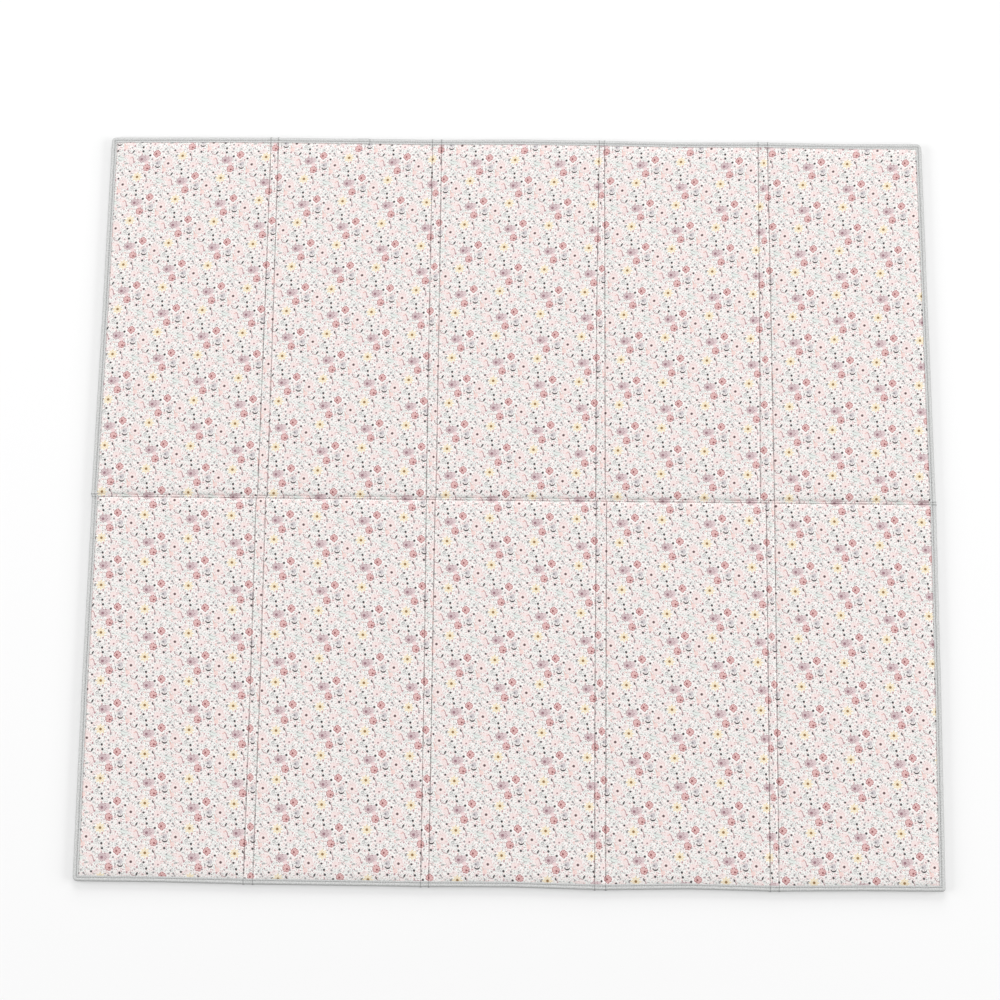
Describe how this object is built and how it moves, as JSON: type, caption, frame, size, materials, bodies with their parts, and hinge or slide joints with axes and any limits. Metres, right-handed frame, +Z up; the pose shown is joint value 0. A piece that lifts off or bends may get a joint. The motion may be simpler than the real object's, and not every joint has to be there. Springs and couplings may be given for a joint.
{
  "type": "baby play mat",
  "caption": "Flat rectangular padded folding play mat in flower-printed cotton, quilted into panels by stitched fold creases and edged with a cloth binding tape.",
  "frame": {"origin": "on the floor, under the middle of the mat's box", "axes": "+X along the long side, +Y towards the back edge, which is the picture's upper edge, +Z up from the floor through the printed face"},
  "size_m": [2.0142, 1.8114, 0.0121],
  "materials": {
    "printed_cotton": "plain-woven cotton with a small flower print, over thin padding",
    "grey_tape": "plain-woven cotton binding tape"
  },
  "bodies": {
    "root": {"padded_mat": "printed_cotton", "edge_binding": "grey_tape"}
  },
  "joints": []
}
